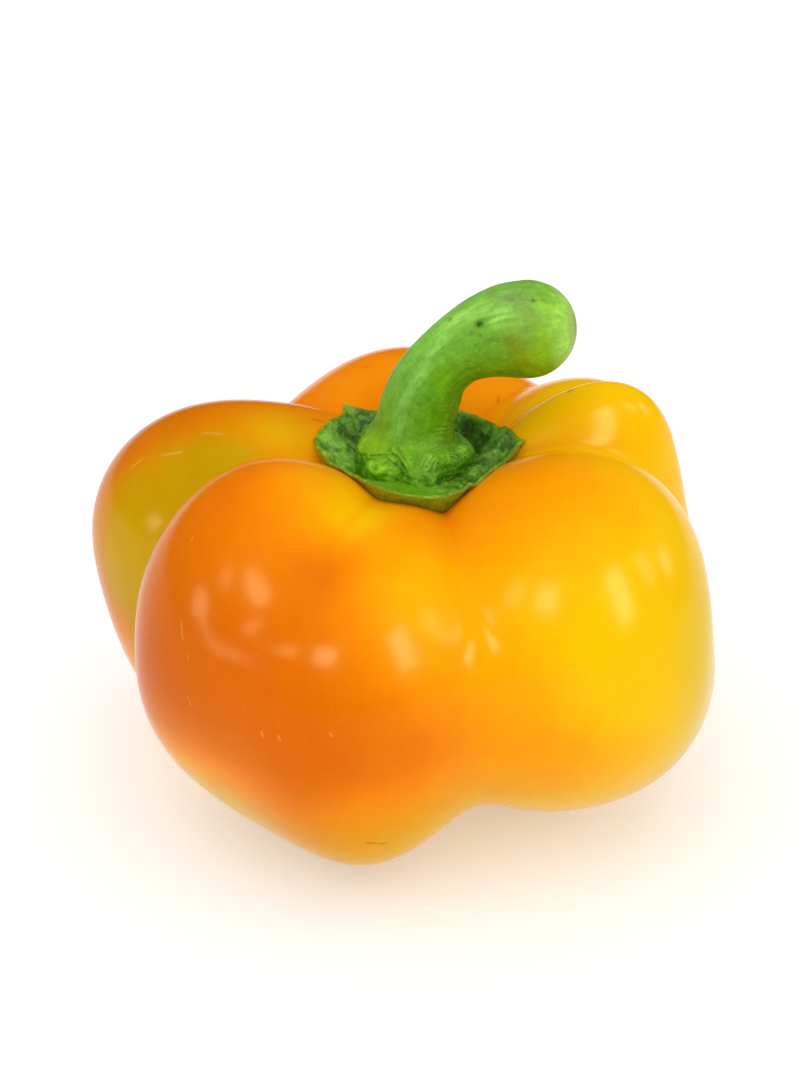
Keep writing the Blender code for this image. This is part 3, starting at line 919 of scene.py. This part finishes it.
    colour = np.tile(linear(104, 156, 30), (len(flat), 1))
    upper = bell(gap_deg(Af, 205), 46)
    colour = mixed(colour, linear(130, 184, 86), upper * step(Tf, 0.36, 0.58) * 0.95)
    colour = mixed(colour, linear(126, 166, 22), 0.85 * bell(gap_deg(Af, 205), 26)
                   * step(Tf, 0.50, 0.34))
    colour = mixed(colour, linear(97, 156, 10), 0.95 * bell(gap_deg(Af, 282), 30)
                   * step(Tf, 0.72, 0.60) * step(Tf, 0.22, 0.34))
    colour = mixed(colour, linear(98, 158, 48), 0.8 * bell(gap_deg(Af, 262), 24)
                   * step(Tf, 0.62, 0.72) * step(Tf, 0.86, 0.78))
    colour = mixed(colour, linear(118, 154, 4), 0.9 * bell(gap_deg(Af, 312), 26)
                   * step(Tf, 0.58, 0.72))
    colour = mixed(colour, linear(104, 136, 6), 0.7 * bell(gap_deg(Af, 0), 40))
    colour = mixed(colour, linear(122, 162, 10), 0.7 * bell(gap_deg(Af, 335), 14)
                   * step(Tf, 0.26, 0.32) * step(Tf, 0.52, 0.42))
    colour = mixed(colour, linear(142, 196, 112), 0.7 * line_(
        [(0.660, 222), (0.60, 229), (0.52, 240), (0.40, 236), (0.33, 243)], 0.65)
        * step(streak, -0.6, 0.2))
    colour = mixed(colour, linear(120, 178, 92), 0.55 * line_(
        [(0.47, 236), (0.33, 246)], 1.4))
    colour = mixed(colour, linear(168, 214, 118), 0.8 * (
        spot(0.815, 212, 2.6, 0.8) + spot(0.825, 229, 1.5, 0.8) + spot(0.72, 205, 2.0, 0.7))
        * step(streak, -0.5, 0.1))
    colour = mixed(colour, linear(140, 170, 112), 0.9 * line_(
        [(0.865, 205), (0.93, 214), (0.965, 236), (0.93, 252)], 1.35))
    colour = mixed(colour, linear(110, 134, 96), 0.8 * line_(
        [(0.87, 207), (0.93, 213), (0.955, 226)], 0.7) * step(mott, -0.2, 0.25))
    colour = mixed(colour, linear(122, 130, 10), 0.85 * line_(
        [(0.865, 262), (0.905, 280), (0.89, 292)], 1.5) * step(streak, -0.7, 0.1))
    colour = mixed(colour, linear(140, 178, 15), 0.9 * spot(0.985, 268, 1.9, 4.2))
    colour = mixed(colour, linear(168, 210, 104), 0.92 * step(Tf, 0.985, 1.06))
    colour = mixed(colour, linear(150, 202, 74), 0.6 * spot(1.00, 208, 1.5, 2.2))
    # the foot
    colour = mixed(colour, linear(100, 160, 18), foot.ravel() * 0.8)
    colour = mixed(colour, linear(142, 194, 44), 0.95 * spot(0.105, 237, 1.3, 1.75))
    colour = mixed(colour, linear(132, 168, 20), 0.95 * spot(0.168, 196, 0.9, 2.7))
    colour = mixed(colour, linear(84, 128, 12), 0.6 * spot(0.105, 196, 0.7, 2.6))
    colour = mixed(colour, linear(132, 188, 66), 0.85 * spot(0.289, 294, 0.85, 1.0))
    colour = mixed(colour, linear(76, 128, 6), 0.8 * spot(0.080, 322, 1.0, 1.5))
    colour = mixed(colour, linear(50, 82, 12), 0.85 * spot(0.030, 306, 0.9, 3.0))
    colour = mixed(colour, linear(92, 136, 42), 0.8 * spot(0.048, 288, 0.7, 1.1))
    colour = mixed(colour, linear(138, 192, 88), 0.8 * line_(
        [(0.18, 290), (0.12, 284), (0.075, 277)], 0.5) * step(grain, -0.3, 0.25))
    colour = mixed(colour, linear(150, 200, 80), 0.7 * line_(
        [(0.10, 244), (0.07, 252), (0.06, 262)], 0.4) * step(grain, -0.1, 0.3))
    # painted highlight and shade: the raised rings of the whorl are painted lighter, the sunken ones
    # darker
    prints_f = prints.ravel()
    colour = mixed(colour, linear(150, 204, 70), 0.75 * np.clip(prints_f, 0, 1))
    colour = mixed(colour, linear(62, 112, 4), 0.70 * np.clip(-prints_f, 0, 1))
    # painted shade in each fold of the foot, painted highlight on the ridge beside it
    for fold, deep in STEM_FOLDS:
        colour = mixed(colour, linear(58, 104, 6), 1.5 * deep * line_(fold, 0.20))
        colour = mixed(colour, linear(144, 198, 50), 1.3 * deep * line_(
            [(a + 0.012, b + 2.5) for a, b in fold], 0.20))
    # painted highlight and shade: the raised pebbles of the foot are painted as pale speckles, the hollows
    # between them darker
    pebble = pebbled.ravel() * foot.ravel()
    colour = mixed(colour, linear(156, 212, 70), 0.55 * step(pebble, 0.30, 0.85)
                   * step(mott, -0.35, 0.3))
    colour = mixed(colour, linear(66, 118, 8), 0.6 * step(pebble, 0.0, -0.7))
    colour = mixed(colour, linear(158, 212, 52), 0.85 * spot(0.100, 237, 0.95, 1.35)
                   * step(grain + mott, -0.9, 0.2))
    colour = mixed(colour, linear(150, 184, 26), 0.85 * spot(0.168, 198, 0.75, 2.4))
    colour = mixed(colour, linear(44, 78, 6), 0.6 * spot(0.080, 205, 0.6, 2.4))
    # painted highlight: the raised crinkles are painted lighter
    cr = (crinkle * here(0.38, 300, 3.0, 3.0)).ravel()
    colour = mixed(colour, linear(140, 190, 50), 0.6 * np.clip(cr, 0, 1))
    # painted shade: the very base of the stem, where it meets the cup, is darkened
    colour = mixed(colour, linear(48, 86, 8), step(Tf, 0.035, 0.0) * 0.8)
    colour = colour * 1.08 * (1 + 0.16 * streak[:, None] + 0.22 * mott[:, None] + 0.16 * grain[:, None])
    colour = mixed(colour, linear(44, 70, 14), 0.95 * spot(0.766, 228, 0.40, 0.40))
    colour = mixed(colour, linear(70, 96, 30), 0.7 * spot(0.691, 197, 0.22, 0.3))
    colour = mixed(colour, linear(70, 96, 30), 0.7 * spot(0.762, 243, 0.2, 0.2))
    colour = mixed(colour, linear(70, 96, 40), 0.8 * spot(0.956, 212, 0.22, 0.25))
    # the healed end: a paler disc with faint rings
    middle_gap = np.where(Tf > 10 * STEM_POINT, H.ravel(), 9.0)
    colour = mixed(colour, linear(176, 188, 118), 0.7 * step(middle_gap, 4.2, 3.2))
    colour = mixed(colour, linear(150, 138, 86), 0.6 * step(middle_gap, 2.6, 1.2))
    colour = np.vstack([colour, colour[:1], colour[-1:]])
    paint(obj, "tint", np.clip(colour, 0, 1))
    flow = sw / 50.0
    flow = np.vstack([flow, flow[:1], flow[-1:]])
    paint(obj, "flow", flow)
    return obj


def stem_material():
    n = Nodes("stem_skin")
    s = n.shader
    where = n.place()
    tint = n.attribute("tint", True)
    flow = n.attribute("flow", True)
    long_streaks = n.noise(n.scaled(flow, 1.0, 6.0, 6.0), 16.0, 4.0, 0.65)
    fine = n.noise(where, 1300.0, 3.0, 0.6)
    tint = n.mix(n.fit(long_streaks, 0.38, 0.62, 0.0, 0.42), tint, (0.66, 0.78, 0.5), "MULTIPLY")
    specks = n.between(n.cells(where, 520.0), 0.11, 0.05)
    tint = n.mix(n.math("MULTIPLY", specks, 0.30), tint, linear(70, 100, 20))
    tint = n.mix(n.fit(fine, 0.52, 0.75, 0.0, 0.14), tint, linear(164, 210, 50))
    tiny = n.noise(where, 2600.0, 2.0, 0.55)
    # pale specks, partly the stem's own mottling and partly painted highlight, with dark specks beside
    # them
    tint = n.mix(n.math("MULTIPLY", n.between(tiny, 0.54, 0.66), 0.10), tint, linear(166, 220, 70))
    tint = n.mix(n.math("MULTIPLY", n.between(tiny, 0.46, 0.36), 0.08), tint, linear(58, 100, 8))
    tint = n.mix(1.0, tint, (0.90, 1.0, 0.62), "MULTIPLY")
    n.put(s.inputs["Base Color"], tint)
    n.put(s.inputs["Roughness"], n.fit(fine, 0.3, 0.7, 0.40, 0.55))
    s.inputs["Specular IOR Level"].default_value = 0.16
    s.inputs["Specular Tint"].default_value = (0.85, 1.0, 0.5, 1.0)
    height = n.math("ADD", n.math("MULTIPLY", long_streaks, 0.7), n.math("MULTIPLY", fine, 0.3))
    n.put(s.inputs["Normal"], n.bump(height, 0.00015, 0.6))
    return n.material


# ================================================================ the object
fruit = build_fruit()
fruit.data.materials.append(fruit_material())
calyx = build_calyx()
calyx.data.materials.append(calyx_material())
stem = build_stem()
stem.data.materials.append(stem_material())
for piece, node, finish in ((fruit, "fruit", "fruit_skin"),
                            (calyx, "calyx", "calyx_green"),
                            (stem, "stem", "stem_green")):
    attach(piece, "root")
    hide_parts(node)

# ==================================================================== studio
floor_mesh = bpy.data.meshes.new("floor")
floor_mesh.from_pydata([(-6, -6, 0), (6, -6, 0), (6, 6, 0), (-6, 6, 0)], [], [(0, 1, 2, 3)])
floor = bpy.data.objects.new("floor", floor_mesh)
bpy.context.scene.collection.objects.link(floor)
paper = bpy.data.materials.new("pale_paper")
paper.use_nodes = True
paper_shader = paper.node_tree.nodes["Principled BSDF"]
paper_shader.inputs["Base Color"].default_value = (0.74, 0.745, 0.75, 1)
paper_shader.inputs["Roughness"].default_value = 0.9
paper_shader.inputs["Specular IOR Level"].default_value = 0.1
paper_shader.inputs["Emission Color"].default_value = (1, 1, 1, 1)
paper_shader.inputs["Emission Strength"].default_value = 0.34
floor_mesh.materials.append(paper)

world = bpy.data.worlds.new("studio")
bpy.context.scene.world = world
world.use_nodes = True
sky = world.node_tree.nodes["Background"]
sky.inputs["Color"].default_value = (1.0, 1.0, 1.0, 1)
sky.inputs["Strength"].default_value = 0.81

AIM = to_row(np.array([-2.1, 0.0, 41.9]))


def soft_light(name, compass, height, wide, tall, distance, strength, aim=(0, 0, 0.04)):
    """A soft rectangle of light at a direction and height angle from the fruit."""
    light = bpy.data.lights.new(name, "AREA")
    light.shape = "RECTANGLE"
    light.size, light.size_y = wide, tall
    light.energy = strength * wide * tall * pi
    obj = bpy.data.objects.new(name, light)
    bpy.context.scene.collection.objects.link(obj)
    target = Vector(aim)
    obj.location = target + Vector(sphere_direction(compass, height)) * distance
    obj.rotation_euler = (obj.location - target).to_track_quat("Z", "Y").to_euler()
    return obj


# windows: seen as gleams on the skin, with only a little light of their own
for name, compass, height, wide, tall, strength in (
        ("window_left_low", 205, 12, 0.22, 0.18, 15.0),
        ("window_left_mid", 222, 33, 0.15, 0.18, 10.0),
        ("window_left_high", 249, 36, 0.21, 0.22, 20.0),
        ("window_right_mid", 346, 32, 0.15, 0.24, 8.0),
        ("window_right_high", 314, 32, 0.22, 0.42, 20.0),
        ("window_right_low", 6, 21, 0.15, 0.18, 8.0)):
    window = soft_light(name, compass, height, wide, tall, 0.9, strength)
    window.visible_diffuse = False
overhead = soft_light("overhead", 265, 66, 1.3, 1.3, 1.2, 1.0)
overhead.visible_glossy = False
world.cycles_visibility.glossy = False

camera_data = bpy.data.cameras.new("camera")
camera = bpy.data.objects.new("camera", camera_data)
bpy.context.scene.collection.objects.link(camera)
camera_data.sensor_width = 36.0
camera_data.lens = 2709.0 / 1080.0 * 36.0
camera_data.clip_start = 0.02
tilt = radians(27.8)
camera.location = Vector(AIM) + 0.420 * Vector((0, -cos(tilt), sin(tilt)))
camera.rotation_euler = (pi / 2 - tilt, 0, 0)
bpy.context.scene.camera = camera
bpy.context.scene.view_settings.view_transform = "Standard"
bpy.context.scene.view_settings.look = "None"
